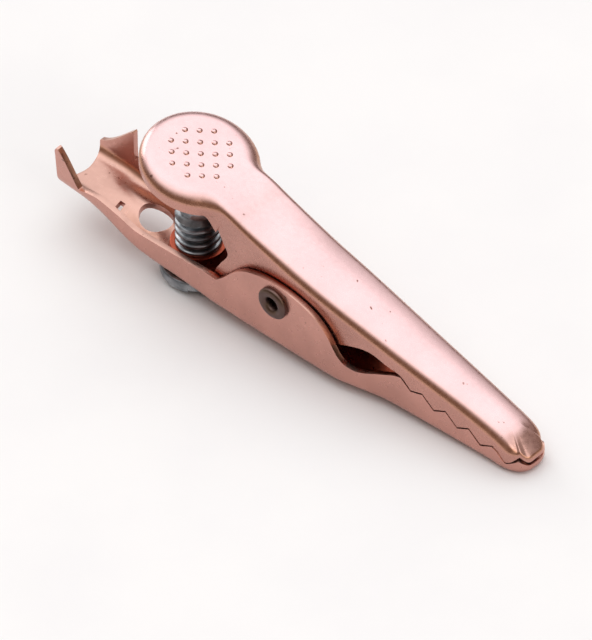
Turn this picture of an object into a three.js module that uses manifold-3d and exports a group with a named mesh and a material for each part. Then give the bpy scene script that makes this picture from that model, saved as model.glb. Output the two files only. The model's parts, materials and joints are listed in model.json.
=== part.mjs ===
// Copper alligator clip with a terminal screw: two stamped sheet jaws on a tubular rivet, a torsion
// spring that holds them closed, and a screw that clamps a wire under the tail.
// Units are millimetres. +X points to the nose, +Z up, and the clip is symmetric about y = 0 apart
// from its two staggered grip ears. Everything is drawn in the clip's own frame, with the rivet's
// axis through the origin, and then set down on the nose and the screw head.
import * as THREE from 'three';
import { mergeVertices } from 'three/addons/utils/BufferGeometryUtils.js';
import Module from 'manifold-3d';

const wasm = await Module();
wasm.setup();

// Driving dimensions
const SHEET = 0.5; // thickness of the copper sheet
const GAP = 0.3; // clearance between pieces that touch
const SEGMENTS = 8; // steps along each arc or curve of an outline

const NOSE_X = 25.3; // tip of the upper jaw
const NOSE_FLAT = 22.8; // where the nose starts to round off in plan
const NOSE_HALF = 2.05; // half width at the nose
const HINGE_HALF = 2.6; // half width of the upper jaw at the rivet
const EAR_HALF = HINGE_HALF + GAP + SHEET; // outer half width of the lower jaw's hinge ears
const EAR_REAR = -7;
const EAR_FRONT = 6.6;
const JOG_X = 11.2; // where the lower jaw has narrowed in front of its hinge ears
const JOG_HALF = 2.5;
const TAIL_HALF = 3.0; // outer half width of the wire trough

const PAD_X = -11.2; // centre of the thumb pad
const PAD_RADIUS = 4.9;
const PAD_TOP = 6.8;
const PAD_SLOPE = Math.tan(THREE.MathUtils.degToRad(9.5));
const PAD_SKIRT = 1.6; // depth of the skirt round the pad
const HINGE_TOP = 4.0; // top of the upper jaw above the rivet
const NOSE_TOP = -1.5; // top of the upper jaw where the nose starts

const TOOTH_START = 13.8; // first tooth tip of the upper jaw
const TOOTH_PITCH = 2.4;
const TOOTH_COUNT = 4;
const TOOTH_DEPTH = 0.85;
const MATING_Z = -1.3; // line that the teeth mesh on, at TOOTH_START
const MATING_SLOPE = Math.tan(THREE.MathUtils.degToRad(-9.5));

const FLOOR_REAR = -4.98; // underside of the lower jaw below the screw
const FLOOR_SLOPE = 0.018; // rise of the underside towards the nose
const KNEE_X = -14; // where the floor starts to rise into the trough
const TROUGH_X = -19; // front end of the trough
const TROUGH_FLOOR = -3.5; // underside of the trough
const TAIL_X = -24.2; // rear end of the trough

const RIVET_BORE = 0.6;
const RIVET_SHANK = 0.95;
const RIVET_HEAD = 1.45;
const RIVET_PROUD = 0.5; // height of each rolled end

const SCREW_X = -11.2;
const SCREW_RADIUS = 1.85;
const SCREW_TOP = 0.6;
const SCREW_HEAD_RADIUS = 3.2;
const SCREW_HEAD = 1.1; // height of the head
const SCREW_EDGE = 0.45; // chamfer round the head
const SLOT_WIDTH = 0.9;
const SLOT_DEPTH = 0.6;
const COLLAR_RADIUS = 2.5; // collar drawn up from the floor, which the screw's thread bites in
const COLLAR_TOP = -2.95;

const HOLE_X = -16; // wire hole in the rising floor
const HOLE_RADIUS = 1.45;

const WIRE_RADIUS = 0.25;
const COIL_RADIUS = 1.65;
const COIL_TURNS = 5;
const COIL_PITCH = 0.64;

const REST_TILT = THREE.MathUtils.degToRad(3.5); // nose down, when the clip stands by itself

const WIDE = 20; // more than the clip's width

function solidOf(geometry) {
  const bare = geometry.clone();
  bare.deleteAttribute('normal');
  bare.deleteAttribute('uv');
  const merged = mergeVertices(bare, 1e-4);
  const mesh = new wasm.Mesh({
    numProp: 3,
    vertProperties: new Float32Array(merged.attributes.position.array),
    triVerts: new Uint32Array(merged.index.array),
  });
  return new wasm.Manifold(mesh);
}

function geometryOf(solid) {
  const mesh = solid.getMesh();
  const geometry = new THREE.BufferGeometry();
  geometry.setAttribute('position', new THREE.BufferAttribute(mesh.vertProperties, 3));
  geometry.setIndex(new THREE.BufferAttribute(mesh.triVerts, 1));
  geometry.computeVertexNormals();
  return geometry;
}

// A side view outline in x and z, extruded across the clip from y = from to y = to.
function acrossSolid(shape, from, to) {
  const settings = { depth: to - from, bevelEnabled: false, curveSegments: SEGMENTS };
  const geometry = new THREE.ExtrudeGeometry(shape, settings);
  geometry.rotateX(Math.PI / 2);
  geometry.translate(0, to, 0);
  return solidOf(geometry);
}

// A plan outline in x and y, extruded upwards from z = low to z = high.
function uprightSolid(shape, low, high) {
  const settings = { depth: high - low, bevelEnabled: false, curveSegments: SEGMENTS };
  const geometry = new THREE.ExtrudeGeometry(shape, settings);
  geometry.translate(0, 0, low);
  return solidOf(geometry);
}

function uprightRod(x, y, radius, low, high) {
  const geometry = new THREE.CylinderGeometry(radius, radius, high - low, 24);
  geometry.rotateX(Math.PI / 2);
  geometry.translate(x, y, (low + high) / 2);
  return solidOf(geometry);
}

function crossRod(radius, length) {
  return solidOf(new THREE.CylinderGeometry(radius, radius, length, 24));
}

function polygon(points) {
  return new THREE.Shape(points.map(([x, z]) => new THREE.Vector2(x, z)));
}

// ---- Upper jaw -------------------------------------------------------------------------------

function padTopAt(x) {
  return PAD_TOP + (PAD_X - x) * PAD_SLOPE;
}

function matingAt(x) {
  return MATING_Z + (x - TOOTH_START) * MATING_SLOPE;
}

// Zigzag of tooth tips and roots from the throat to the nose; offset moves it up or down.
function teethPoints(offset) {
  const points = [];
  for (let i = 0; i <= TOOTH_COUNT; i += 1) {
    const tip = TOOTH_START + i * TOOTH_PITCH;
    const root = tip + TOOTH_PITCH / 2;
    points.push([tip, matingAt(tip) - TOOTH_DEPTH / 2 + offset]);
    if (i < TOOTH_COUNT) points.push([root, matingAt(root) + TOOTH_DEPTH / 2 + offset]);
  }
  return points;
}

// Plan of the upper jaw: pad, neck and tapering nose. An inset of one sheet gives its inside.
function upperPlan(inset) {
  const pad = PAD_RADIUS - inset;
  const neck = HINGE_HALF - inset;
  const nose = NOSE_HALF - inset;
  const meet = Math.asin(neck / pad);
  const tip = NOSE_X - inset;
  const shape = new THREE.Shape();
  shape.moveTo(PAD_X + pad * Math.cos(meet), neck);
  shape.absarc(PAD_X, 0, pad, meet, 2 * Math.PI - meet, false);
  shape.lineTo(3, -neck);
  shape.lineTo(NOSE_FLAT, -nose);
  shape.bezierCurveTo(NOSE_FLAT + 1.2, -nose, tip, -nose * 0.75, tip, 0);
  shape.bezierCurveTo(tip, nose * 0.75, NOSE_FLAT + 1.2, nose, NOSE_FLAT, nose);
  shape.lineTo(3, neck);
  return shape;
}

// Side view of the upper jaw's outside: top line, nose, teeth, throat, stop lobe and pad skirt.
function upperSide() {
  const lipZ = matingAt(NOSE_X) - 0.1 + GAP / 2;
  const shape = new THREE.Shape();
  shape.moveTo(PAD_X - PAD_RADIUS - 1, padTopAt(PAD_X - PAD_RADIUS - 1));
  shape.lineTo(PAD_X + PAD_RADIUS - 1, padTopAt(PAD_X + PAD_RADIUS - 1));
  shape.lineTo(0, HINGE_TOP);
  shape.lineTo(NOSE_FLAT, NOSE_TOP);
  shape.quadraticCurveTo(NOSE_X - 0.5, NOSE_TOP - 0.5, NOSE_X + 0.1, lipZ);
  const teeth = teethPoints(GAP / 2).reverse();
  teeth.forEach(([x, z]) => shape.lineTo(x, z));
  shape.lineTo(12.6, -0.35);
  shape.quadraticCurveTo(9.9, 0.5, 7.2, -0.6);
  shape.quadraticCurveTo(4.5, -2.4, 0, -2.5);
  shape.lineTo(-5.6, -2.2);
  shape.quadraticCurveTo(-7.2, -2.0, -6.7, -0.9);
  shape.quadraticCurveTo(-4.9, 1.2, -6.4, 2.7);
  const skirtX = PAD_X + PAD_RADIUS - 1.6;
  shape.quadraticCurveTo(-7.0, 3.6, skirtX, padTopAt(skirtX) - PAD_SKIRT);
  shape.lineTo(PAD_X - PAD_RADIUS - 1, padTopAt(PAD_X - PAD_RADIUS - 1) - PAD_SKIRT);
  return shape;
}

// Side view of the channel inside the upper jaw, open below.
function upperInside() {
  return polygon([
    [PAD_X - PAD_RADIUS - 2, padTopAt(PAD_X - PAD_RADIUS - 2) - SHEET],
    [PAD_X + PAD_RADIUS - 1, padTopAt(PAD_X + PAD_RADIUS - 1) - SHEET],
    [0, HINGE_TOP - SHEET],
    [NOSE_FLAT, NOSE_TOP - SHEET],
    [NOSE_X + 1, NOSE_TOP - SHEET - 1],
    [NOSE_X + 1, -WIDE],
    [PAD_X - PAD_RADIUS - 2, -WIDE],
  ]);
}

function makeUpperJaw() {
  const outside = acrossSolid(upperSide(), -WIDE, WIDE).intersect(uprightSolid(upperPlan(0), -WIDE, WIDE));
  const core = uprightSolid(upperPlan(SHEET), -WIDE, WIDE);
  const inside = acrossSolid(upperInside(), -WIDE, WIDE).intersect(core);
  return outside.subtract(inside).subtract(crossRod(RIVET_SHANK + GAP, WIDE));
}

// ---- Lower jaw -------------------------------------------------------------------------------

function undersideAt(x) {
  return FLOOR_REAR + (x - KNEE_X) * FLOOR_SLOPE;
}

// Plan of the lower jaw: trough, hinge ears, then the tapering nose.
function lowerPlan(inset) {
  const tail = TAIL_HALF - inset;
  const ear = EAR_HALF - inset;
  const front = NOSE_HALF - inset;
  const tip = NOSE_X - 0.2 - inset;
  const rear = TAIL_X - (inset > 0 ? 1 : 0);
  const jog = JOG_HALF - inset;
  const shape = new THREE.Shape();
  shape.moveTo(rear, -tail);
  shape.lineTo(KNEE_X, -tail);
  shape.lineTo(EAR_REAR, -ear);
  shape.lineTo(EAR_FRONT, -ear);
  shape.lineTo(JOG_X, -jog);
  shape.lineTo(NOSE_FLAT, -front);
  shape.bezierCurveTo(NOSE_FLAT + 1.2, -front, tip, -front * 0.75, tip, 0);
  shape.bezierCurveTo(tip, front * 0.75, NOSE_FLAT + 1.2, front, NOSE_FLAT, front);
  shape.lineTo(JOG_X, jog);
  shape.lineTo(EAR_FRONT, ear);
  shape.lineTo(EAR_REAR, ear);
  shape.lineTo(KNEE_X, tail);
  shape.lineTo(rear, tail);
  return shape;
}

// The underside from the tail to the nose, raised by lift.
function undersidePoints(lift) {
  return [
    [TAIL_X - 1, TROUGH_FLOOR + lift],
    [TROUGH_X, TROUGH_FLOOR + lift],
    [KNEE_X, FLOOR_REAR + lift],
    [NOSE_X + 1, undersideAt(NOSE_X + 1) + lift],
  ];
}

// Side view of one wall: hinge ear, throat and teeth are shared, and the grip ear differs by side.
function wallSide(gripEar) {
  const shape = new THREE.Shape();
  const under = undersidePoints(0);
  shape.moveTo(under[0][0], under[0][1]);
  under.slice(1).forEach(([x, z]) => shape.lineTo(x, z));
  shape.lineTo(NOSE_X + 1, matingAt(NOSE_X) - GAP / 2 - 0.1);
  const teeth = teethPoints(-GAP / 2).reverse();
  teeth.forEach(([x, z]) => shape.lineTo(x, z));
  shape.lineTo(12.7, -1.0);
  shape.quadraticCurveTo(9.4, -2.7, 8.1, -2.5);
  shape.quadraticCurveTo(7.0, -2.4, 6.4, -1.3);
  shape.bezierCurveTo(5.3, 1.05, 3.4, 1.95, 0.4, 1.95);
  shape.bezierCurveTo(-2.8, 1.95, -4.6, 0.6, -6.4, -1.75);
  shape.lineTo(-9.7, -2.05);
  shape.lineTo(-15.3, -2.5);
  shape.lineTo(-17.7, -2.0);
  gripEar.forEach(([x, z]) => shape.lineTo(x, z));
  return shape;
}

const NEAR_GRIP_EAR = [[-20.2, -1.7], [-21.9, -2.3], [-23.9, 1.1], [-25, 1.1]];
const FAR_GRIP_EAR = [[-20.6, -1.8], [-20.6, 0.85], [-21, 0.85], [-24, -2.2], [-25, -2.2]];

function makeLowerJaw() {
  const plan = uprightSolid(lowerPlan(0), -WIDE, WIDE);
  const core = uprightSolid(lowerPlan(SHEET), -WIDE, WIDE);
  const nearWall = acrossSolid(wallSide(NEAR_GRIP_EAR), -WIDE, 1);
  const walls = nearWall.add(acrossSolid(wallSide(FAR_GRIP_EAR), -1, WIDE));
  const inside = polygon([...undersidePoints(SHEET), [NOSE_X + 1, WIDE], [TAIL_X - 1, WIDE]]);
  const channel = core.intersect(acrossSolid(inside, -WIDE, WIDE));
  const collar = uprightRod(SCREW_X, 0, COLLAR_RADIUS, undersideAt(SCREW_X) + SHEET / 2, COLLAR_TOP);
  let jaw = walls.intersect(plan).subtract(channel).add(collar);
  jaw = jaw.subtract(crossRod(RIVET_SHANK + GAP, WIDE));
  jaw = jaw.subtract(uprightRod(SCREW_X, 0, SCREW_RADIUS + GAP, -WIDE, 0));
  return jaw.subtract(uprightRod(HOLE_X, 0, HOLE_RADIUS, -WIDE, 0));
}

// ---- Rivet, spring and screw -----------------------------------------------------------------

// Tubular rivet along Y, rolled over outside both ears.
function makeRivet() {
  const inner = EAR_HALF + GAP;
  const outer = inner + RIVET_PROUD;
  const half = [
    [RIVET_BORE, outer - 0.15],
    [RIVET_BORE + 0.15, outer],
    [RIVET_HEAD - 0.2, outer],
    [RIVET_HEAD, outer - 0.25],
    [RIVET_HEAD, inner],
    [RIVET_SHANK, inner],
  ];
  const mirrored = half.map(([r, y]) => [r, -y]).reverse();
  const ring = [...mirrored, ...half].reverse();
  const profile = [...ring, ring[0]].map(([r, y]) => new THREE.Vector2(r, y));
  return solidOf(new THREE.LatheGeometry(profile, 24));
}

// Coil round the rivet with one leg under the upper jaw and one leg on the lower jaw's floor.
class SpringPath extends THREE.Curve {
  getPoint(t, target = new THREE.Vector3()) {
    const turns = COIL_TURNS + 0.5;
    const angle = Math.PI + t * turns * 2 * Math.PI;
    const y = (t - 0.5) * COIL_TURNS * COIL_PITCH;
    return target.set(COIL_RADIUS * Math.sin(angle), y, COIL_RADIUS * Math.cos(angle));
  }
}

function wireSection() {
  const shape = new THREE.Shape();
  shape.absarc(0, 0, WIRE_RADIUS, 0, 2 * Math.PI, false);
  return shape;
}

function wireAlong(path, steps) {
  const settings = { steps, bevelEnabled: false, curveSegments: 3, extrudePath: path };
  return solidOf(new THREE.ExtrudeGeometry(wireSection(), settings));
}

function makeSpring() {
  const coil = wireAlong(new SpringPath(), COIL_TURNS * 18);
  const sideY = 0.5 * COIL_TURNS * COIL_PITCH;
  const lowLeg = new THREE.LineCurve3(
    new THREE.Vector3(0.2, -sideY, -COIL_RADIUS),
    new THREE.Vector3(-6.2, -sideY, -3.7),
  );
  const highLeg = new THREE.LineCurve3(
    new THREE.Vector3(0.2, sideY, COIL_RADIUS),
    new THREE.Vector3(-6.0, sideY, 4.1),
  );
  return coil.add(wireAlong(lowLeg, 1)).add(wireAlong(highLeg, 1));
}

// Slotted terminal screw, driven up through the floor from below.
function makeScrew() {
  const bearing = undersideAt(SCREW_X) - GAP;
  const bottom = bearing - SCREW_HEAD;
  const profile = [
    [0, bottom],
    [SCREW_HEAD_RADIUS - SCREW_EDGE, bottom],
    [SCREW_HEAD_RADIUS, bottom + SCREW_EDGE],
    [SCREW_HEAD_RADIUS, bearing],
    [SCREW_RADIUS, bearing],
    [SCREW_RADIUS, SCREW_TOP - 0.4],
    [SCREW_RADIUS - 0.4, SCREW_TOP],
    [0, SCREW_TOP],
  ];
  const geometry = new THREE.LatheGeometry(profile.map(([r, z]) => new THREE.Vector2(r, z)), 32);
  geometry.rotateX(Math.PI / 2);
  geometry.translate(SCREW_X, 0, 0);
  const slot = new THREE.BoxGeometry(WIDE, SLOT_WIDTH, 2 * SLOT_DEPTH);
  slot.translate(SCREW_X, 0, bottom);
  return solidOf(geometry).subtract(solidOf(slot));
}

// ---- Assembly --------------------------------------------------------------------------------

function addPiece(group, name, solid, color, roughness) {
  const material = new THREE.MeshStandardMaterial({ color, roughness, metalness: 1 });
  const mesh = new THREE.Mesh(geometryOf(solid), material);
  mesh.name = name;
  group.add(mesh);
}

const clip = new THREE.Group();
addPiece(clip, 'lower_jaw', makeLowerJaw(), 0xd9917f, 0.28);
addPiece(clip, 'upper_jaw', makeUpperJaw(), 0xe6a594, 0.25);
addPiece(clip, 'pivot_rivet', makeRivet(), 0x9a6a5c, 0.35);
addPiece(clip, 'torsion_spring', makeSpring(), 0xb0b0b2, 0.35);
addPiece(clip, 'terminal_screw', makeScrew(), 0x9a9ea2, 0.4);
clip.rotation.y = REST_TILT;

// The screw head's front edge is the lowest point; the part's origin lies under its middle.
const part = new THREE.Group();
part.add(clip);
const bounds = new THREE.Box3().setFromObject(part, true);
const middle = bounds.getCenter(new THREE.Vector3());
clip.position.set(-middle.x, 0, -bounds.min.z);

export default part;
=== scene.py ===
"""Copper alligator clip with a terminal screw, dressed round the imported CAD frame.

The two jaws are lofted sheets: half sections run from the middle of the sheet out to its plan
outline, round the bend and along the wall to the cut edge. Shapes are drawn in millimetres in the
clip's own frame (rivet axis through the origin, +X to the nose, +Z up) and set into the row frame.
"""
import json
import math

import bmesh
import bpy
import numpy as np
from mathutils import Matrix, Vector


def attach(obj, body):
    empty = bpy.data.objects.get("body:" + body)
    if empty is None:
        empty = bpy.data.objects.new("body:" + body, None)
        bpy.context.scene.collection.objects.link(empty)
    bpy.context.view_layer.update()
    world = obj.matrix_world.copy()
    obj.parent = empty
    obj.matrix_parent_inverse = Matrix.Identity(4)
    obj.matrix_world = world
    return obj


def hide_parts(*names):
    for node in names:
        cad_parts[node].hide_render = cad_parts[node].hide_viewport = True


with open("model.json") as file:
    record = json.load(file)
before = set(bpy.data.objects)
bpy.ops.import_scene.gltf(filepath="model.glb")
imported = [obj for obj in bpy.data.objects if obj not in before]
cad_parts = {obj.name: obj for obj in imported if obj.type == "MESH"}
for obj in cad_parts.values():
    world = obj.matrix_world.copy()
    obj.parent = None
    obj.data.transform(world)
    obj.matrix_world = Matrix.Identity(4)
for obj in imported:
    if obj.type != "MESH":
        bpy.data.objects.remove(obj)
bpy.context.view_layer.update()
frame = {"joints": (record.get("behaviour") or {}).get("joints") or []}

# ---- Driving dimensions, in millimetres in the clip's frame ------------------------------------

REST_TILT = math.radians(3.5)  # nose down, when the clip stands by itself
SHEET = 0.5  # thickness of the copper
EDGE_BEVEL = 0.07

NOSE_POLE = 22.3  # centre of the rounded nose in plan
NOSE_LENGTH = 3.0
UPPER_NOSE_POWER = 3.0  # how square the nose is in plan: 2 would be an ellipse
LOWER_NOSE_POWER = 2.6
NOSE_CHAMFER = 0.62  # extra fall of the top at the end of the nose
CHAMFER_START = 0.4  # share of the way out from the pole where that fall starts
NOSE_FOLD = 0.3  # depth of the fold at each corner of the nose
FOLD_PLACE = 0.47  # place of the fold between the front (0) and the side (1)
FOLD_REACH = 0.36
FOLD_LIFT = 0.8  # how much less the top falls in the fold
LIP = 0.18  # least height of the wall under the nose's bend

UPPER_BEND = 0.6  # bends are given by their outer radius
NOSE_SIDE_BEND = 0.62
NOSE_FRONT_BEND = 0.18
CROWN = 0.45  # fall of the top from its middle to its sides
PAD_X = -11.2
PAD_RADIUS = 4.9
PAD_DISH = 0.08
DISH_RADIUS = 4.1
PAD_BEND = 1.2
PAD_FALL = 1.0  # height of the bend round the pad
PAD_POLE = 2.4  # the sections of the neck meet this far in front of the pad's centre
SKIRT = 1.45
SKIRT_FRONT = 0.2  # the skirt is this much deeper where it meets the neck
NECK_DEPTH = 3.0  # depth of the wall where the neck starts
NECK_FILLET = 3.0
NECK_BEND = 1.4
DOT_PITCH = 1.17
DOT_SHIFT = 0.1  # the grid of dots sits a little off the middle

TOOTH_START = 13.8
TOOTH_PITCH = 2.4
TOOTH_COUNT = 4
TOOTH_DEPTH = 0.85
FIRST_TOOTH = 0.18  # share of the depth that the first tip has
MATING_Z = -1.35  # line that the teeth mesh on, at TOOTH_START
MATING_SLOPE = -0.165
MOUTH_GAP = 0.07  # half of the gap between the closed jaws
MOUTH_DROP = 0.42  # fall of the mouth below the mating line, round the nose
MOUTH_ARCH = 2.3  # rise of the mouth for each millimetre of the nose's fold
MOUTH_FRONT = 0.3

TAIL_X = -24.3  # rear end of the trough
FAR_EAR_X = -20.95  # front edge of the far grip ear
NEAR_EAR_X = -21.9  # front foot of the near grip ear
TAIL_CURVE = 0.75  # how far the middle of the tail's end curves in
FLARE = math.radians(5)  # lean of the trough's sides
FLOOR_BEND = 0.8
TROUGH_BEND = 1.35
LOWER_NOSE_BEND = 0.7
LEAST_WALL = 0.06

HINGE_BORE = 1.0
RIVET_BORE = 0.58
RIVET_SHANK = 0.95
RIVET_HEAD = 1.45
RIVET_PROUD = 0.5
ROLL_HEIGHT = 0.26

SCREW_X = -11.35
SCREW_RADIUS = 1.93
SCREW_PITCH = 0.794
SCREW_TOP = 0.6
THREAD_DEPTH = 0.46
HEAD_RADIUS = 3.2
HEAD_HEIGHT = 1.33
HEAD_ROUND = 0.55
DRIVER_SLOT = (20, 0.95, 1.2)  # length, right through the head, width and twice the depth
DRIVER_TURN = math.radians(-55)
HOLE_X = -16.0
HOLE_RADIUS = 1.4
COLLAR_RADIUS = 2.35  # outside of the tapped collar raised from the floor
COLLAR_TOP = -2.95
CUT_LENGTH = 4  # enough for a cutter to pass through the floor
CUT_WIDE = 20  # enough for a cutter to pass through the whole clip
WIRE_SLOT = ((-18.9, -1.25, -3.4), (0.55, 0.95, 2))  # middle and size of the trough's slot

WIRE = 0.25
COIL_RADIUS = 1.65
COIL_TURNS = 5.0
COIL_PITCH = 0.64

INSIDE_SHADE_RED = (0.4, 0.09, 0.05)  # painted shade on the copper between the walls
SCREW_SHADE_RED = (0.32, 0.07, 0.04)  # painted shade on the copper round the screw


def smooth(points):
    """A curve through (x, value) points that never overshoots between them."""
    xs, ys = np.array(points, float).T
    h = np.diff(xs)
    d = np.diff(ys) / h
    m = np.zeros(len(xs))
    m[0], m[-1] = d[0], d[-1]
    for i in range(1, len(d)):
        if d[i - 1] * d[i] > 0:
            a, b = 2 * h[i] + h[i - 1], h[i] + 2 * h[i - 1]
            m[i] = (a + b) / (a / d[i - 1] + b / d[i])

    def value(x):
        x = min(max(x, xs[0]), xs[-1])
        i = min(max(int(np.searchsorted(xs, x)) - 1, 0), len(h) - 1)
        t = (x - xs[i]) / h[i]
        start = (1 + 2 * t) * (1 - t) ** 2 * ys[i] + t * (1 - t) ** 2 * h[i] * m[i]
        end = t * t * (3 - 2 * t) * ys[i + 1] + t * t * (t - 1) * h[i] * m[i + 1]
        return float(start + end)

    return value


def glide(keys, per_step):
    """Points of a smooth path through keys of any dimension, per_step of them in each interval."""
    keys = np.array(keys, float)
    padded = np.vstack([2 * keys[0] - keys[1], keys, 2 * keys[-1] - keys[-2]])
    out = []
    for i in range(len(keys) - 1):
        p0, p1, p2, p3 = padded[i : i + 4]
        for k in range(per_step):
            t = k / per_step
            out.append(
                0.5 * (2 * p1 + (p2 - p0) * t + (2 * p0 - 5 * p1 + 4 * p2 - p3) * t * t
                       + (3 * p1 - p0 - 3 * p2 + p3) * t**3)
            )
    out.append(keys[-1])
    return out


def ease(low, high, x):
    """Smooth step from 0 at low to 1 at high, whichever of the two is larger."""
    t = min(max((x - low) / (high - low), 0.0), 1.0)
    return t * t * (3 - 2 * t)


upper_top = smooth([
    (-16.2, 7.64), (-11.2, 6.8), (-7.6, 6.2), (-5.5, 5.67), (-4, 5.2), (0, 4.22), (3.2, 3.46),
    (12, 1.54), (21.4, -0.52), (22.8, -0.94), (23.7, -1.3), (25.4, -2.05),
])
upper_half = smooth([(-8, 2.85), (-4, 2.84), (3.2, 2.78), (12, 2.42), (21.4, 1.98), (23.5, 1.93)])
lower_side = smooth([  # underside below the bends, which carries on straighter than the middle
    (-24.3, -3.5), (-21.5, -3.55), (-20, -3.78), (-18, -4.2), (-16.5, -4.58), (-15, -4.88),
    (-13, -4.98), (-8, -4.95), (0, -4.85), (6, -4.72), (12, -4.52), (25, -4.3),
])
lower_floor = smooth([
    (-24.3, -3.5), (-20.5, -3.55), (-18.2, -3.62), (-16, -3.8), (-14.2, -4.45), (-12.8, -4.9),
    (-8, -4.95), (0, -4.85), (6, -4.72), (12, -4.52), (25, -4.3),
])
lower_half = smooth([
    (-24.3, 2.78), (-21, 2.88), (-16, 3.04), (-14, 3.08), (-9, 3.25), (-6.5, 3.38), (0, 3.4),
    (6, 3.38), (8.2, 3.05), (11.2, 2.52), (14, 2.38), (21.4, 2.07), (23.5, 2.02),
])
grip_half = smooth([(11, 2.52), (14, 2.36), (21.4, 2.02), (22.3, 1.97), (23.5, 1.95)])
wall_top = smooth([
    (-21.9, -2.3), (-20.9, -1.95), (-19.7, -1.75), (-17.7, -2.05), (-15.3, -2.55), (-13.3, -2.42),
    (-9.7, -2.05), (-6.9, -1.72), (-6.4, -1.75),
])
near_grip = smooth([(-24.3, 0.75), (-24.15, 1.08), (-24.0, 1.14), (-23.85, 1.0), (-21.9, -2.3)])
far_grip = smooth([(-24.3, -1.95), (-24.0, -1.84), (-20.95, 0.88)])


def wall_half(x):
    """Half width of the upper jaw at the cut edge of its walls."""
    share = ease(7.5, 12.5, x)
    return min(upper_half(x), 2.76) * (1 - share) + grip_half(x) * share


def mating(x):
    """Height of the line that the teeth mesh on."""
    return MATING_Z + (x - TOOTH_START) * MATING_SLOPE


# ---- Mesh helpers ------------------------------------------------------------------------------

pivot = Vector(next(j for j in frame["joints"] if j["name"] == "jaw_pivot")["pos_m"])
to_row = Matrix.Translation(pivot) @ Matrix.Rotation(REST_TILT, 4, "Y") @ Matrix.Scale(0.001, 4)


def new_object(name, bm):
    """Makes an object of a mesh drawn in the clip's frame, and frees that mesh."""
    bm.transform(to_row)
    mesh = bpy.data.meshes.new(name)
    bm.to_mesh(mesh)
    bm.free()
    obj = bpy.data.objects.new(name, mesh)
    bpy.context.scene.collection.objects.link(obj)
    return obj


def bake(obj):
    """Applies the object's modifiers to its mesh."""
    bpy.context.view_layer.update()
    evaluated = obj.evaluated_get(bpy.context.evaluated_depsgraph_get())
    mesh = bpy.data.meshes.new_from_object(evaluated)
    obj.modifiers.clear()
    obj.data = mesh


def shade(obj, angle):
    """Smooth shading, with the edges above the angle (in degrees) kept sharp."""
    obj.data.shade_smooth()
    obj.data.set_sharp_from_angle(angle=math.radians(angle))


def grid_into(bm, columns, closed=False):
    """Joins neighbouring columns of points with quads."""
    rows = [[bm.verts.new(Vector(p)) for p in column] for column in columns]
    count = len(rows) if closed else len(rows) - 1
    for i in range(count):
        a, b = rows[i], rows[(i + 1) % len(rows)]
        for k in range(len(a) - 1):
            bm.faces.new([a[k], b[k], b[k + 1], a[k + 1]])
    return rows


def lathe_into(bm, profile, place, segments):
    """Turns a closed profile of (radius, height) round the axis that place gives."""
    columns = []
    for i in range(segments):
        a = 2 * math.pi * i / segments
        columns.append([place(r * math.cos(a), r * math.sin(a), h) for r, h in profile])
    grid_into(bm, columns, closed=True)


def merge_close(bm):
    """Joins vertices in the same place and drops the faces that this closes up."""
    bmesh.ops.remove_doubles(bm, verts=bm.verts, dist=1e-4)
    thin = [f for f in bm.faces if f.calc_area() < 1e-9]
    bmesh.ops.delete(bm, geom=thin, context="FACES")


def solid_object(name, bm, angle):
    """Object of a closed mesh, with its normals outwards and edges sharp above the angle."""
    merge_close(bm)
    bmesh.ops.recalc_face_normals(bm, faces=bm.faces)
    obj = new_object(name, bm)
    if angle:
        shade(obj, angle)
    return obj


def rod(name, centre, axis, radius, length):
    """A plain cylinder in the clip's frame, used to cut holes."""
    bm = bmesh.new()
    turn = Vector((0, 0, 1)).rotation_difference(Vector(axis)).to_matrix().to_4x4()
    bmesh.ops.create_cone(bm, cap_ends=True, segments=48, radius1=radius, radius2=radius,
                          depth=length, matrix=Matrix.Translation(centre) @ turn)
    return new_object(name, bm)


def block(name, centre, size):
    """A plain box in the clip's frame, used to cut slots."""
    bm = bmesh.new()
    place = Matrix.Translation(centre) @ Matrix.Diagonal((*size, 1))
    bmesh.ops.create_cube(bm, size=1, matrix=place)
    return new_object(name, bm)


def cut(obj, cutters):
    """Takes the cutters away from the object, and removes them."""
    for cutter in cutters:
        boolean = obj.modifiers.new("cut", "BOOLEAN")
        boolean.operation = "DIFFERENCE"
        boolean.solver = "EXACT"
        boolean.object = cutter
    bake(obj)
    for cutter in cutters:
        bpy.data.objects.remove(cutter)


def soften_edges(obj, width, segments=3, angle=40):
    """Bevels the edges sharper than the angle; the width is in millimetres."""
    bevel = obj.modifiers.new("edges", "BEVEL")
    bevel.width = width * 0.001
    bevel.segments = segments
    bevel.limit_method = "ANGLE"
    bevel.angle_limit = math.radians(angle)
    bake(obj)


def sheet_object(name, columns, cutters):
    """A sheet of even thickness inside the lofted outer surface, with its cut edges softened."""
    bm = bmesh.new()
    grid_into(bm, columns)
    merge_close(bm)
    obj = new_object(name, bm)
    solid = obj.modifiers.new("sheet", "SOLIDIFY")
    solid.thickness = SHEET * 0.001
    solid.offset = -1
    solid.use_quality_normals = True
    bake(obj)
    cut(obj, cutters)
    soften_edges(obj, EDGE_BEVEL)
    shade(obj, 35)
    return obj


# ---- Jaw sections ------------------------------------------------------------------------------

def nose_outline(t, half, length, power):
    """Point and outward normal of the near half of the nose, t = 0 at the front, 1 at the side."""
    def point(u):
        a = math.radians(90 * u)
        x = NOSE_POLE + length * math.cos(a) ** (2 / power)
        return Vector((x, -half * math.sin(a) ** (2 / power)))

    step = 1e-3
    along = point(min(t + step, 1.0)) - point(max(t - step, 0.0))
    normal = Vector((-along.y, along.x)).normalized()
    if t == 0:
        normal = Vector((1, 0))
    if t == 1:
        normal = Vector((0, -1))
    if normal.dot(point(t) - Vector((NOSE_POLE, 0))) < 0:
        normal = -normal
    return point(t), normal


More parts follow.
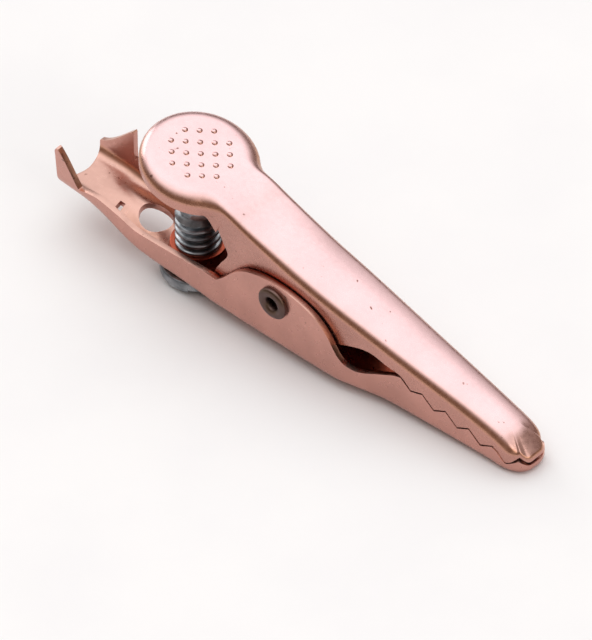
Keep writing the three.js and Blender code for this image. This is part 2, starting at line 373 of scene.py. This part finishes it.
def upper_surface(x, y):
    """Height of the crowned top, which is dished at the thumb pad."""
    radius = math.hypot(x - PAD_X, y)
    dish = PAD_DISH * (1 - ease(0, DISH_RADIUS, radius))
    crown = CROWN * ease(-6, 2, x) * (y / upper_half(x)) ** 2
    return upper_top(x) - dish - crown


def upper_section(centre, outline, normal, edge, bend, fall=None):
    """From the middle of the top, over the bend and down the wall to the cut edge.

    The bend is as wide as bend says and as tall as fall says, or round without it.
    """
    fall = fall or bend
    flat_end = outline - normal * bend
    points = []
    flats, bends, walls = 9, 10, 12
    for i in range(flats):
        p = centre.lerp(flat_end, i / flats)
        points.append(Vector((p.x, p.y, upper_surface(p.x, p.y))))
    for i in range(bends + 1):
        a = math.radians(90 * i / bends)
        p = flat_end + normal * bend * math.sin(a)
        points.append(Vector((p.x, p.y, upper_surface(p.x, p.y) - (1 - math.cos(a)) * fall)))
    last = points[-1].copy()
    for i in range(1, walls + 1):
        points.append(last.lerp(edge, i / walls))
    return points


def upper_edge_path():
    """Cut edge of the near wall from the nose back to the neck, as (x of the section, x, z).

    The two x differ where the edge runs back under the hinge, so that no section folds over.
    """
    keys = []
    for i in range(TOOTH_COUNT - 1, -1, -1):
        tip = TOOTH_START + i * TOOTH_PITCH
        root = tip + TOOTH_PITCH / 2
        reach = TOOTH_DEPTH * (0.5 if i else FIRST_TOOTH)
        keys.append((root, root, mating(root) + TOOTH_DEPTH / 2 + MOUTH_GAP))
        keys.append((tip, tip, mating(tip) - reach + MOUTH_GAP))
    keys[0] = (NOSE_POLE, NOSE_POLE, keys[0][2] - 0.02)
    straight = [keys[0]]
    for a, b in zip(keys, keys[1:]):
        for k in range(0 if len(straight) > 1 else 1, 4):
            straight.append(tuple(p + (q - p) * k / 4 for p, q in zip(a, b)))
    throat = [
        keys[-1], (12.75, 12.75, -0.5), (11.4, 11.4, -0.28), (9.8, 9.8, 0.02), (8.6, 8.6, -0.12),
        (7.4, 7.4, -0.55), (6.3, 5.8, -1.25), (5.1, 3.4, -2.1), (3.7, 0.6, -2.55),
        (2.1, -3.2, -2.5), (0.7, -6.0, -2.35), (-0.6, -7.0, -1.75), (-2.0, -6.5, -0.5),
        (-3.5, -5.65, 1.0), (-4.6, -6.05, 2.0), (-5.87, -6.68, 3.2),
    ]
    return straight + [tuple(p) for p in glide(throat, 5)]


def nose_fold(t):
    """Depth of the sharp inward fold at the rounded corner of the nose."""
    away = min(1.0, abs(t - FOLD_PLACE) / FOLD_REACH)
    return NOSE_FOLD * (1 - away**1.5) ** 2


def mouth_line(t):
    """Height of the closed mouth round the nose, arched up where the nose is folded."""
    rise = MOUTH_ARCH * nose_fold(t) + MOUTH_FRONT * ease(0.5, 0.0, t)
    return mating(NOSE_POLE + 1) - MOUTH_DROP + rise


def nose_section(t, q, n, edge):
    """From the middle of the top, down the chamfered end of the nose and over to the lip."""
    centre = Vector((NOSE_POLE, 0))
    taper = ease(1.0, 0.4, t)
    bend = NOSE_SIDE_BEND + (NOSE_FRONT_BEND - NOSE_SIDE_BEND) * taper
    flat_end = q - n * bend
    fold = nose_fold(t)
    room = upper_surface(q.x, q.y) - bend - edge.z - LIP
    drop = min(NOSE_CHAMFER * taper - FOLD_LIFT * fold, room)
    points = []
    flats, bends, walls = 9, 10, 12

    def surface(p, sink):
        share = (p - centre).length / (q - centre).length
        outer = max(0.0, (share - CHAMFER_START) / (1 - CHAMFER_START))
        inward = n * fold * outer ** 1.3
        z = upper_surface(p.x, p.y) - drop * outer - sink
        return Vector((p.x - inward.x, p.y - inward.y, z))

    for i in range(flats):
        points.append(surface(centre.lerp(flat_end, i / flats), 0))
    for i in range(bends + 1):
        a = math.radians(90 * i / bends)
        points.append(surface(flat_end + n * bend * math.sin(a), (1 - math.cos(a)) * bend))
    last = points[-1].copy()
    edge = edge - Vector((n.x, n.y, 0)) * fold
    for i in range(1, walls + 1):
        points.append(last.lerp(edge, i / walls))
    return points


def upper_columns():
    """Half sections from the front of the nose, along the near side, to the rear of the pad."""
    columns = []
    half = upper_half(NOSE_POLE)
    steps = 30
    for i in range(steps):
        t = i / steps
        q, n = nose_outline(t, half, NOSE_LENGTH - 0.05, UPPER_NOSE_POWER)
        out = q + n * 0.03
        columns.append(nose_section(t, q, n, Vector((out.x, out.y, mouth_line(t) + MOUTH_GAP))))
    for x, edge_x, edge_z in upper_edge_path():
        q = Vector((x, -upper_half(x)))
        bend = NOSE_SIDE_BEND + (UPPER_BEND - NOSE_SIDE_BEND) * ease(22, 16, x)
        edge = Vector((edge_x, -wall_half(edge_x), edge_z))
        columns.append(upper_section(Vector((x, 0)), q, Vector((0, -1)), edge, bend))
    return columns + pad_columns()


def pad_columns():
    """Sections round the concave neck and then round the pad to its rear."""
    neck = upper_half(-7)
    reach = PAD_RADIUS + NECK_FILLET
    side = neck + NECK_FILLET
    fillet_x = PAD_X + math.sqrt(reach**2 - side**2)
    meet = math.atan2(side, fillet_x - PAD_X)
    columns = []
    steps = 10
    for i in range(1, steps + 1):
        a = (math.pi / 2 - meet) * i / steps
        q = Vector((fillet_x - NECK_FILLET * math.sin(a), -side + NECK_FILLET * math.cos(a)))
        n = Vector((math.sin(a), -math.cos(a)))
        t = i / steps
        centre = Vector((fillet_x + (PAD_X + PAD_POLE - fillet_x) * t, 0))
        depth = SKIRT + SKIRT_FRONT + (NECK_DEPTH - SKIRT_FRONT - SKIRT) * (1 - ease(0, 0.85, t))
        edge = Vector((q.x - 0.8 * (1 - t), q.y, upper_surface(q.x, q.y) - depth))
        wide = UPPER_BEND + (NECK_BEND - UPPER_BEND) * ease(0, 1, t)
        columns.append(upper_section(centre, q, n, edge, wide, min(wide, PAD_FALL)))
    steps = 44
    for i in range(1, steps + 1):
        a = meet + (math.pi - meet) * i / steps
        out = Vector((math.cos(a), -math.sin(a)))
        q = Vector((PAD_X, 0)) + out * PAD_RADIUS
        centre = Vector((PAD_X + PAD_POLE * (1 - ease(0, 0.3, i / steps)), 0))
        rear = ease(0.05, 0.6, i / steps)
        wide = NECK_BEND + (PAD_BEND - NECK_BEND) * rear
        depth = SKIRT + SKIRT_FRONT * (1 - rear)
        edge = Vector((q.x, q.y, upper_surface(q.x, q.y) - depth))
        columns.append(upper_section(centre, q, out, edge, wide, PAD_FALL))
    return columns


def make_upper_jaw():
    near = upper_columns()
    far = [[Vector((p.x, -p.y, p.z)) for p in column] for column in near[::-1]]
    bore = rod("rivet_bore", (0, 0, 0), (0, 1, 0), HINGE_BORE, CUT_WIDE)
    return sheet_object("upper_jaw_sheet", near + far[1:], [bore])


# ---- Lower jaw ---------------------------------------------------------------------------------

def ear_path():
    """Cut edge of the hinge ear, the throat and the teeth, from the rear to the nose."""
    keys = [
        (-6.4, -1.75), (-5.8, -1.2), (-5.1, -0.4), (-4.3, 0.5), (-3.3, 1.22), (-2.2, 1.65),
        (-1.0, 1.9), (0.4, 1.95), (1.8, 1.83), (3.1, 1.53), (4.2, 1.09), (5.1, 0.47),
        (5.8, -0.28), (6.3, -1.05), (6.8, -1.8), (7.4, -2.3), (8.2, -2.48), (9.1, -2.3),
        (10.1, -1.87), (11.1, -1.4), (12.0, -0.92), (12.75, -0.68),
    ]
    points = [tuple(p) for p in glide(keys, 3)]
    for i in range(TOOTH_COUNT + 1):
        tip = TOOTH_START + i * TOOTH_PITCH
        root = tip + TOOTH_PITCH / 2
        reach = TOOTH_DEPTH * (0.5 if i else FIRST_TOOTH)
        for x, z in ((tip, mating(tip) - reach - MOUTH_GAP),
                     (root, mating(root) + TOOTH_DEPTH / 2 - MOUTH_GAP)):
            if x < NOSE_POLE:
                ax, az = points[-1]
                points += [(ax + (x - ax) * k / 4, az + (z - az) * k / 4) for k in (1, 2, 3, 4)]
    points.append((NOSE_POLE, mating(NOSE_POLE) + TOOTH_DEPTH / 2 - MOUTH_GAP - 0.05))
    return points


def lower_section(x, side, top_z, nose=None):
    """From the middle of the floor, round the bend and up the wall to the cut edge.

    Side is -1 for the near half; nose is the outline's point and normal, round the nose only.
    """
    if nose:
        bend = LOWER_NOSE_BEND
        outline, normal = nose
        centre = Vector((NOSE_POLE, 0))
    else:
        bend = TROUGH_BEND + (FLOOR_BEND - TROUGH_BEND) * ease(-20.5, -16, x)
        outline, normal = Vector((x, -lower_half(x))), Vector((0, -1))
        centre = Vector((x, 0))
    flare = FLARE * (1 - ease(-22, -16, x))
    flat_end = outline - normal * bend
    low, mid = lower_side(x), lower_floor(x)
    points = []
    flats, bends, walls = 9, 9, 12
    for i in range(flats):
        p = centre.lerp(flat_end, i / flats)
        drop = ease(0.1, 1.0, i / flats)
        z = mid + (low - mid) * drop if not nose else lower_floor(p.x)
        points.append(Vector((p.x, p.y, z)))
    for i in range(bends + 1):
        a = (math.pi / 2 - flare) * i / bends
        p = flat_end + normal * bend * math.sin(a)
        points.append(Vector((p.x, p.y, low + bend * (1 - math.cos(a)))))
    last = points[-1].copy()
    rise = max(top_z - last.z, LEAST_WALL)
    for i in range(1, walls + 1):
        up = rise * i / walls
        p = normal * up * math.tan(flare)
        points.append(last + Vector((p.x, p.y, up)))
    back = ease(-21.5, TAIL_X, x)
    for i, p in enumerate(points):
        p.x += TAIL_CURVE * back * (1 - ease(0.0, 0.62, i / len(points)))
        p.y *= -side
    return points


def lower_columns(side):
    """Half sections of one side, from the tail to the front of the nose."""
    columns = []
    stations = [TAIL_X + 0.2 * k for k in range(12)]
    stations += [NEAR_EAR_X, -21.7, -21.5, -21.3, -21.12, -20.98, -20.9, -20.8, -20.65]
    stations += [-20.4 + 0.3 * k for k in range(25)]
    stations += [-12.6 + 0.6 * k for k in range(10)] + [-6.75]
    for x in stations:
        if side < 0:
            top = near_grip(x) if x < NEAR_EAR_X else wall_top(x)
        else:
            drop = ease(FAR_EAR_X, FAR_EAR_X + 0.3, x)
            top = far_grip(x) * (1 - drop) + wall_top(x) * drop
        columns.append(lower_section(x, side, top))
    for x, z in ear_path():
        columns.append(lower_section(x, side, z))
    steps = 18
    half = lower_half(NOSE_POLE)
    for i in range(1, steps + 1):
        t = 1 - i / steps
        q, n = nose_outline(t, half, NOSE_LENGTH, LOWER_NOSE_POWER)
        lip = mouth_line(t) - MOUTH_GAP - 0.22 * ease(0.75, 0.3, t)
        lip += (mating(NOSE_POLE) + TOOTH_DEPTH / 2 - lip) * max(0, 1 - (1 - t) * 5)
        columns.append(lower_section(q.x, side, lip, (q, n)))
    return columns


def make_lower_jaw():
    near = lower_columns(-1)
    far = lower_columns(1)[::-1]
    cutters = [
        rod("rivet_hole", (0, 0, 0), (0, 1, 0), HINGE_BORE, CUT_WIDE),
        rod("screw_hole", (SCREW_X, 0, -5), (0, 0, 1), SCREW_RADIUS - 0.08, CUT_LENGTH),
        rod("wire_hole", (HOLE_X, 0, -3.6), (-0.1, 0, 1), HOLE_RADIUS, CUT_LENGTH),
        block("slot", *WIRE_SLOT),
    ]
    return sheet_object("lower_jaw_sheet", near + far[1:], cutters)


# ---- Small parts -------------------------------------------------------------------------------

def make_collar():
    """The collar drawn up from the floor round the screw, where its thread bites."""
    floor = lower_floor(SCREW_X)
    inner = SCREW_RADIUS - 0.12
    profile = [
        (inner, floor + 0.1), (inner, COLLAR_TOP - 0.12), (inner + 0.12, COLLAR_TOP),
        (COLLAR_RADIUS - 0.12, COLLAR_TOP), (COLLAR_RADIUS - 0.03, COLLAR_TOP - 0.04),
        (COLLAR_RADIUS, COLLAR_TOP - 0.14), (COLLAR_RADIUS, floor + 0.95),
        (COLLAR_RADIUS + 0.06, floor + 0.74), (COLLAR_RADIUS + 0.2, floor + 0.58),
        (COLLAR_RADIUS + 0.42, floor + 0.49), (COLLAR_RADIUS + 0.42, floor + 0.1),
        (inner, floor + 0.1),
    ]
    bm = bmesh.new()
    lathe_into(bm, profile, lambda a, b, h: Vector((SCREW_X + a, b, h)), 64)
    return solid_object("screw_collar", bm, 35)


def make_pad_dots():
    """Raised dots in a five by five grid without its corners, turned by 45 degrees."""
    profile = [(0.27, -0.05), (0.26, 0.0), (0.21, 0.04), (0.15, 0.09), (0.08, 0.115), (0.0, 0.12)]
    bm = bmesh.new()
    for i in range(-2, 3):
        for k in range(-2, 3):
            if abs(i) == 2 and abs(k) == 2:
                continue
            x = PAD_X + (i + k) * DOT_PITCH * math.sqrt(0.5)
            y = (i - k) * DOT_PITCH * math.sqrt(0.5) + DOT_SHIFT
            z = upper_surface(x, y)
            lathe_into(bm, profile, lambda a, b, h: Vector((x + a, y + b, z + h)), 20)
    return solid_object("pad_dots", bm, 60)


def make_rivet():
    """Tube through both jaws with its ends rolled over the ears."""
    inner = lower_half(0) - 0.02
    outer = inner + RIVET_PROUD
    rolled = [
        (RIVET_BORE, outer - 0.55), (RIVET_BORE + 0.03, outer - 0.28),
        (RIVET_BORE + 0.14, outer - 0.1),
    ]
    for i in range(9):
        a = math.radians(160 - 20 * i)
        wide = 0.4 if i < 4 else 0.428
        height = outer - ROLL_HEIGHT + ROLL_HEIGHT * math.sin(a)
        rolled.append((1.02 + wide * math.cos(a), height))
    rolled += [
        (RIVET_HEAD, outer - 0.33), (RIVET_HEAD - 0.04, inner + 0.02), (1.2, inner),
        (RIVET_SHANK, inner),
    ]
    profile = [(r, -h) for r, h in rolled[::-1]] + rolled
    bm = bmesh.new()
    lathe_into(bm, profile + [profile[0]], lambda a, b, h: Vector((a, h, b)), 56)
    return solid_object("rivet_tube", bm, 40)


def wire_object(name, path):
    """Round wire along a path that never runs along the rivet's axis."""
    path = [Vector(p) for p in path]
    angles = [2 * math.pi * k / 14 for k in range(14)]
    columns = []
    for i, p in enumerate(path):
        along = (path[min(i + 1, len(path) - 1)] - path[max(i - 1, 0)]).normalized()
        side = along.cross(Vector((0, 1, 0))).normalized()
        lift = side.cross(along).normalized()
        ring = [p + (side * math.cos(a) + lift * math.sin(a)) * WIRE for a in angles]
        columns.append(ring + [ring[0]])
    bm = bmesh.new()
    rows = grid_into(bm, columns)
    for ring in (rows[0], rows[-1]):
        bm.faces.new(ring[:-1])
    return solid_object(name, bm, 50)


def coil_point(turn, y):
    """Point of the coil after that many turns from its lowest point."""
    a = math.pi + turn * 2 * math.pi
    return Vector((COIL_RADIUS * math.sin(a), y, COIL_RADIUS * math.cos(a)))


def make_spring():
    """Coil and leg on the lower jaw; the last half turn and its leg go with the upper jaw."""
    half = COIL_TURNS * COIL_PITCH / 2
    steps = int(COIL_TURNS * 40)
    coil = [coil_point(k / 40, -half + COIL_PITCH * k / 40) for k in range(steps + 1)]
    foot = Vector((-6.2, -half, -3.72))
    lower = wire_object("spring_coil", [foot.lerp(coil[0], k / 6) for k in range(6)] + coil)
    end = [coil_point(COIL_TURNS + k / 40, half) for k in range(-6, 21)]
    tip = Vector((-6.0, half, 4.35))
    upper = wire_object("spring_upper_leg", end + [end[-1].lerp(tip, k / 6) for k in range(1, 7)])
    return lower, upper


def thread_radius(z, angle):
    """Rounded thread form on the shank, fading into the chamfer at the top."""
    phase = (z / SCREW_PITCH - angle / (2 * math.pi)) % 1
    ridge = 1 - abs(2 * phase - 1)
    ridge = ease(0.12, 0.8, ridge)
    radius = SCREW_RADIUS - THREAD_DEPTH * (1 - ridge)
    return min(radius, SCREW_RADIUS - 0.48 + 0.95 * max(SCREW_TOP - z, 0))


def make_screw():
    """Slotted pan head below the floor and a threaded shank through it."""
    bearing = lower_floor(SCREW_X) - 0.03
    bottom = bearing - HEAD_HEIGHT
    profile = [(0.0, bottom), (1.2, bottom + 0.01), (HEAD_RADIUS - 0.7, bottom + 0.04)]
    for i in range(1, 8):
        a = math.radians(90 * i / 7)
        height = bottom + 0.6 - HEAD_ROUND * math.cos(a)
        profile.append((HEAD_RADIUS - HEAD_ROUND + HEAD_ROUND * math.sin(a), height))
    profile += [
        (HEAD_RADIUS, bearing - 0.12), (HEAD_RADIUS - 0.1, bearing), (1.4, bearing), (0.0, bearing),
    ]
    bm = bmesh.new()
    lathe_into(bm, profile, lambda a, b, h: Vector((SCREW_X + a, b, h)), 72)
    head = solid_object("screw_head", bm, None)
    slot = block("driver_slot", (SCREW_X, 0, bottom), DRIVER_SLOT)
    slot.data.transform(to_row.inverted())
    turn = Matrix.Translation((SCREW_X, 0, 0)) @ Matrix.Rotation(DRIVER_TURN, 4, "Z")
    slot.data.transform(to_row @ turn @ Matrix.Translation((-SCREW_X, 0, 0)))
    cut(head, [slot])
    soften_edges(head, 0.06, 2, 50)
    shade(head, 35)

    foot = bearing - 0.1
    segments = 72
    rows = int((SCREW_TOP - bearing) / (SCREW_PITCH / 14))
    columns = []
    for i in range(segments):
        a = 2 * math.pi * i / segments
        heights = [foot + (SCREW_TOP - foot) * k / rows for k in range(rows + 1)]
        ring = [(0.0, foot)] + [(thread_radius(z, a), z) for z in heights]
        ring += [(ring[-1][0] * 0.6, SCREW_TOP), (0.0, SCREW_TOP)]
        columns.append([Vector((SCREW_X + r * math.cos(a), r * math.sin(a), z)) for r, z in ring])
    bm = bmesh.new()
    grid_into(bm, columns, closed=True)
    return head, solid_object("screw_shank", bm, 50)


# ---- Materials ---------------------------------------------------------------------------------

def node_material(name):
    """A new material with its node tree, its shader and its texture coordinates."""
    material = bpy.data.materials.new(name)
    material.use_nodes = True
    tree = material.node_tree
    shader = tree.nodes["Principled BSDF"]
    coords = tree.nodes.new("ShaderNodeTexCoord")
    return material, tree, shader, coords


def add_noise(tree, source, scale, detail=4.0, stretch=(1, 1, 1)):
    """Noise whose scale is given per metre."""
    mapping = tree.nodes.new("ShaderNodeMapping")
    mapping.inputs["Scale"].default_value = stretch
    noise = tree.nodes.new("ShaderNodeTexNoise")
    noise.inputs["Scale"].default_value = scale
    noise.inputs["Detail"].default_value = detail
    tree.links.new(source, mapping.inputs["Vector"])
    tree.links.new(mapping.outputs["Vector"], noise.inputs["Vector"])
    return noise.outputs["Fac"]


def add_range(tree, source, low, high, to_low, to_high):
    """Source mapped from the range low to high onto to_low to to_high, and kept within it."""
    node = tree.nodes.new("ShaderNodeMapRange")
    node.clamp = True
    limits = {"From Min": low, "From Max": high, "To Min": to_low, "To Max": to_high}
    for key, value in limits.items():
        node.inputs[key].default_value = value
    tree.links.new(source, node.inputs["Value"])
    return node.outputs["Result"]


def scaled(colour, share):
    return tuple(c * share for c in colour)


def add_mix(tree, factor, a, b):
    """Colour from a (factor 0) to b (factor 1), each a socket or a plain colour."""
    node = tree.nodes.new("ShaderNodeMix")
    node.data_type = "RGBA"
    tree.links.new(factor, node.inputs["Factor"])
    for value, socket in ((a, node.inputs[6]), (b, node.inputs[7])):
        if isinstance(value, tuple):
            socket.default_value = (*value, 1)
        else:
            tree.links.new(value, socket)
    return node.outputs[2]


def add_bump(tree, shader, heights):
    """Chains bump nodes, each given as (height, distance in metres, strength)."""
    last = None
    for height, distance, strength in heights:
        bump = tree.nodes.new("ShaderNodeBump")
        bump.inputs["Distance"].default_value = distance
        bump.inputs["Strength"].default_value = strength
        tree.links.new(height, bump.inputs["Height"])
        if last:
            tree.links.new(last, bump.inputs["Normal"])
        last = bump.outputs["Normal"]
    tree.links.new(last, shader.inputs["Normal"])


def add_math(tree, operation, a, b):
    """One operation on a and b, each a socket or a plain number."""
    node = tree.nodes.new("ShaderNodeMath")
    node.operation = operation
    for value, socket in zip((a, b), node.inputs):
        if isinstance(value, (int, float)):
            socket.default_value = value
        else:
            tree.links.new(value, socket)
    return node.outputs[0]


def between_walls_shade(tree, place, tilt, inside, upper):
    """Mask of the painted shade: 1 on the faces between a jaw's walls, fading towards the nose, and
    0 on its outer faces.

    Inside is the half width between the walls and how much it narrows for each metre.
    """
    half, narrows = inside
    split = tree.nodes.new("ShaderNodeSeparateXYZ")
    tree.links.new(place, split.inputs["Vector"])
    across = add_math(tree, "ABSOLUTE", split.outputs["Y"], 0)
    narrowed = add_math(tree, "MAXIMUM", add_math(tree, "MULTIPLY", split.outputs["X"], narrows), 0)
    width = add_math(tree, "ADD", across, narrowed)
    share = add_range(tree, width, half - 1e-4, half + 1e-4, 1, 0)
    turned = (0.3, 0.4, 1, 0) if upper else (-0.4, -0.3, 0, 1)
    for other in (
        add_range(tree, split.outputs["X"], -0.0088, -0.0078, 0, 1),
        add_range(tree, split.outputs["X"], 0.012, 0.021, 1, 0),
        add_range(tree, tilt, *turned),
    ):
        share = add_math(tree, "MULTIPLY", share, other)
    return share


def copper(name, lit_colour, shaded_colour, rough, inside=None, screw_shade=None):
    """Copper with painted light and shade: lighter where it faces up, darker with painted shade on
    bends and walls.

    It has painted shade in dark red between the walls (inside: half width and narrowing) and
    within a round patch (stain: x, y, radius in metres) round the screw.
    """
    material, tree, shader, coords = node_material(name)
    shader.inputs["Metallic"].default_value = 1.0
    place = coords.outputs["Object"]
    cloud = add_noise(tree, place, 260, 3)
    grain = add_noise(tree, place, 2600, 5)
    lines = add_noise(tree, place, 900, 3, (0.12, 1, 1))
    pits = add_noise(tree, place, 1500, 2)
    split = tree.nodes.new("ShaderNodeSeparateXYZ")
    tree.links.new(coords.outputs["Normal"], split.inputs["Vector"])
    # Painted light and shade: faces turned up take the lit colour, bends a warmer painted shade,
    # walls the shaded colour.
    bend_shade_mask = add_range(tree, split.outputs["Z"], 0.12, 0.45, 0, 1)
    lit_facing = add_range(tree, split.outputs["Z"], 0.6, 0.95, 0, 1)
    walls = add_mix(tree, add_range(tree, cloud, 0.35, 0.65, 0, 1), shaded_colour, scaled(shaded_colour, 0.86))
    lit_tops = add_mix(tree, add_range(tree, cloud, 0.3, 0.7, 0, 1), lit_colour, scaled(lit_colour, 0.9))
    bend_shade = (shaded_colour[0] * 0.96, shaded_colour[1] * 0.96, shaded_colour[2] * 0.76)
    colour = add_mix(tree, lit_facing, add_mix(tree, bend_shade_mask, walls, bend_shade), lit_tops)
    colour = add_mix(tree, add_range(tree, pits, 0.71, 0.77, 0, 1), colour, scaled(shaded_colour, 0.45))
    # Painted shade: dark red on the faces between the walls.
    if inside:
        dark = between_walls_shade(tree, place, split.outputs["Z"], inside, not screw_shade)
        colour = add_mix(tree, dark, colour, INSIDE_SHADE_RED)
    # Painted shade: dark red in a round patch round the screw.
    if screw_shade:
        x, y, radius = screw_shade
        plan = tree.nodes.new("ShaderNodeMapping")
        plan.inputs["Location"].default_value = (-x, -y, 0)
        plan.inputs["Scale"].default_value = (1, 1, 0)
        reach = tree.nodes.new("ShaderNodeVectorMath")
        reach.operation = "LENGTH"
        tree.links.new(place, plan.inputs["Vector"])
        tree.links.new(plan.outputs["Vector"], reach.inputs[0])
        screw_shaded = add_range(tree, reach.outputs["Value"], radius, radius + 2e-4, 1, 0)
        colour = add_mix(tree, screw_shaded, colour, SCREW_SHADE_RED)
    roughness = add_range(tree, grain, 0.3, 0.7, rough * 0.85, rough * 1.25)
    tree.links.new(colour, shader.inputs["Base Color"])
    tree.links.new(roughness, shader.inputs["Roughness"])
    add_bump(tree, shader, [(grain, 2e-5, 0.22), (lines, 3e-5, 0.18), (cloud, 2e-4, 0.12)])
    return material


def plated(name, light, dark, rough):
    """Zinc or steel with a cloudy satin surface."""
    material, tree, shader, coords = node_material(name)
    shader.inputs["Metallic"].default_value = 1.0
    place = coords.outputs["Object"]
    cloud = add_noise(tree, place, 900, 5)
    grain = add_noise(tree, place, 4200, 4)
    colour = add_mix(tree, add_range(tree, cloud, 0.35, 0.65, 0, 1), light, dark)
    roughness = add_range(tree, cloud, 0.3, 0.7, rough * 0.8, rough * 1.3)
    tree.links.new(colour, shader.inputs["Base Color"])
    tree.links.new(roughness, shader.inputs["Roughness"])
    add_bump(tree, shader, [(grain, 2e-5, 0.3), (cloud, 5e-5, 0.3)])
    return material


def floor_material():
    material, tree, shader, coords = node_material("pale_floor")
    grain = add_noise(tree, coords.outputs["Object"], 60, 4)
    speckle = add_range(tree, grain, 0.4, 0.6, 0, 1)
    colour = add_mix(tree, speckle, (0.9, 0.9, 0.9), (0.88, 0.88, 0.885))
    tree.links.new(colour, shader.inputs["Base Color"])
    shader.inputs["Roughness"].default_value = 0.9
    return material


# ---- Dressing the frame ------------------------------------------------------------------------

def dress(obj, body, slot, material, *nodes):
    """Gives a piece its material and body, and hides the CAD nodes that it replaces. The slot is
    not used.
    """
    obj.data.materials.clear()
    obj.data.materials.append(material)
    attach(obj, body)
    if nodes:
        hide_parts(*nodes)


# Middle of the patch of painted shade round the screw, in the row frame.
foot = to_row @ Vector((SCREW_X, 0, COLLAR_TOP))
# Each copper gets a lit colour for faces turned up and a shaded colour for walls; inside places
# painted shade between the walls.
copper_top = copper("copper_upper", (0.79, 0.54, 0.545), (0.54, 0.275, 0.225), 0.27,
                    inside=(2.45e-3, 0.045))
# The lower jaw's copper also has a patch of painted shade round the screw.
copper_low = copper("copper_lower", (0.6, 0.36, 0.3), (0.6, 0.305, 0.25), 0.3,
                    inside=(3.1e-3, 0.07), screw_shade=(foot.x, foot.y, 2.5e-3))
copper_rivet = copper("copper_rivet", (0.2, 0.13, 0.115), (0.12, 0.075, 0.065), 0.38)
zinc = plated("zinc_screw", (0.38, 0.4, 0.42), (0.15, 0.165, 0.18), 0.32)
spring_steel = plated("spring_wire", (0.5, 0.5, 0.5), (0.36, 0.36, 0.37), 0.3)

dress(make_upper_jaw(), "upper_clip", "upper_jaw_copper", copper_top, "upper_jaw")
dress(make_pad_dots(), "upper_clip", "upper_jaw_copper", copper_top)
dress(make_lower_jaw(), "lower_clip", "lower_jaw_copper", copper_low, "lower_jaw")
dress(make_collar(), "lower_clip", "lower_jaw_copper", copper_low)
dress(make_rivet(), "lower_clip", "rivet_copper", copper_rivet, "pivot_rivet")
spring_low, spring_high = make_spring()
dress(spring_low, "lower_clip", "spring_steel", spring_steel, "torsion_spring")
dress(spring_high, "upper_clip", "spring_steel", spring_steel)
screw_head, screw_shank = make_screw()
dress(screw_head, "screw", "screw_zinc", zinc, "terminal_screw")
dress(screw_shank, "screw", "screw_zinc", zinc)


# ---- Stage, light and camera -------------------------------------------------------------------

FLOOR_SIZE = 1.5  # metres, as create_grid takes it
LIGHT_SIDE = 0.5
LIGHT_POWER = 1.6  # watts
BRIGHTEST_SKY = (-0.15, 0.16, 0.97)  # direction
SKY_RANGE = (0.54, 0.87)  # closeness to it where the sky starts to brighten and is brightest
SKY_DARK = (0.3, 0.24, 0.22)
SKY_BRIGHT = (1.6, 1.6, 1.6)
CAMERA_AZIMUTH = math.radians(42.5)  # from straight in front of the near side towards the nose
CAMERA_ELEVATION = math.radians(44.6)
CAMERA_DISTANCE = 1800.0
CAMERA_AIM = (-0.552, -3.184)  # rightwards and upwards from the rivet, in the camera's view
PIXELS_PER_MM = 12.5
FRAME_HEIGHT = 640  # pixels, the longer side
SENSOR = 36


def make_stage():
    """A pale floor at the height that the clip stands on."""
    bm = bmesh.new()
    bmesh.ops.create_grid(bm, x_segments=1, y_segments=1, size=FLOOR_SIZE)
    mesh = bpy.data.meshes.new("floor")
    bm.to_mesh(mesh)
    bm.free()
    floor = bpy.data.objects.new("floor", mesh)
    bpy.context.scene.collection.objects.link(floor)
    mesh.materials.append(floor_material())


def area_light(name, place):
    """A square soft light aimed at the middle of the clip."""
    data = bpy.data.lights.new(name, "AREA")
    data.shape = "RECTANGLE"
    data.size = data.size_y = LIGHT_SIDE
    data.energy = LIGHT_POWER
    light = bpy.data.objects.new(name, data)
    light.location = place
    aim = Vector((0, 0, 0.006)) - Vector(place)
    light.rotation_euler = aim.to_track_quat("-Z", "Y").to_euler()
    bpy.context.scene.collection.objects.link(light)


def make_lights():
    """A sky that is brightest almost straight above, and a soft light beyond each end."""
    world = bpy.data.worlds.new("studio")
    world.use_nodes = True
    tree = world.node_tree
    coords = tree.nodes.new("ShaderNodeTexCoord")
    toward = tree.nodes.new("ShaderNodeVectorMath")
    toward.operation = "DOT_PRODUCT"
    toward.inputs[1].default_value = BRIGHTEST_SKY
    tree.links.new(coords.outputs["Generated"], toward.inputs[0])
    close = add_range(tree, toward.outputs["Value"], *SKY_RANGE, 0, 1)
    sky = add_mix(tree, close, SKY_DARK, SKY_BRIGHT)
    tree.links.new(sky, tree.nodes["Background"].inputs["Color"])
    bpy.context.scene.world = world
    area_light("left", (-0.75, 0.1, 0.3))
    area_light("right", (0.7, -0.1, 0.45))


def make_camera():
    """A long lens on the near side, above the nose, set up in the clip's frame."""
    ahead, across = math.sin(CAMERA_AZIMUTH), math.cos(CAMERA_AZIMUTH)
    level = math.cos(CAMERA_ELEVATION)
    back = Vector((ahead * level, -across * level, math.sin(CAMERA_ELEVATION)))
    right = Vector((across, ahead, 0))
    up = back.cross(right)
    data = bpy.data.cameras.new("camera")
    data.sensor_width = SENSOR
    data.lens = PIXELS_PER_MM * CAMERA_DISTANCE * SENSOR / FRAME_HEIGHT
    data.clip_start, data.clip_end = 0.05, 50
    camera = bpy.data.objects.new("camera", data)
    place = right * CAMERA_AIM[0] + up * CAMERA_AIM[1] + back * CAMERA_DISTANCE
    turn = Matrix((right, up, back)).transposed().to_4x4()
    camera.matrix_world = to_row @ Matrix.Translation(place) @ turn
    camera.scale = (1, 1, 1)  # the clip's frame is scaled to metres, the camera isn't
    bpy.context.scene.collection.objects.link(camera)
    bpy.context.scene.camera = camera


make_stage()
make_lights()
make_camera()
bpy.context.scene.view_settings.view_transform = "Standard"
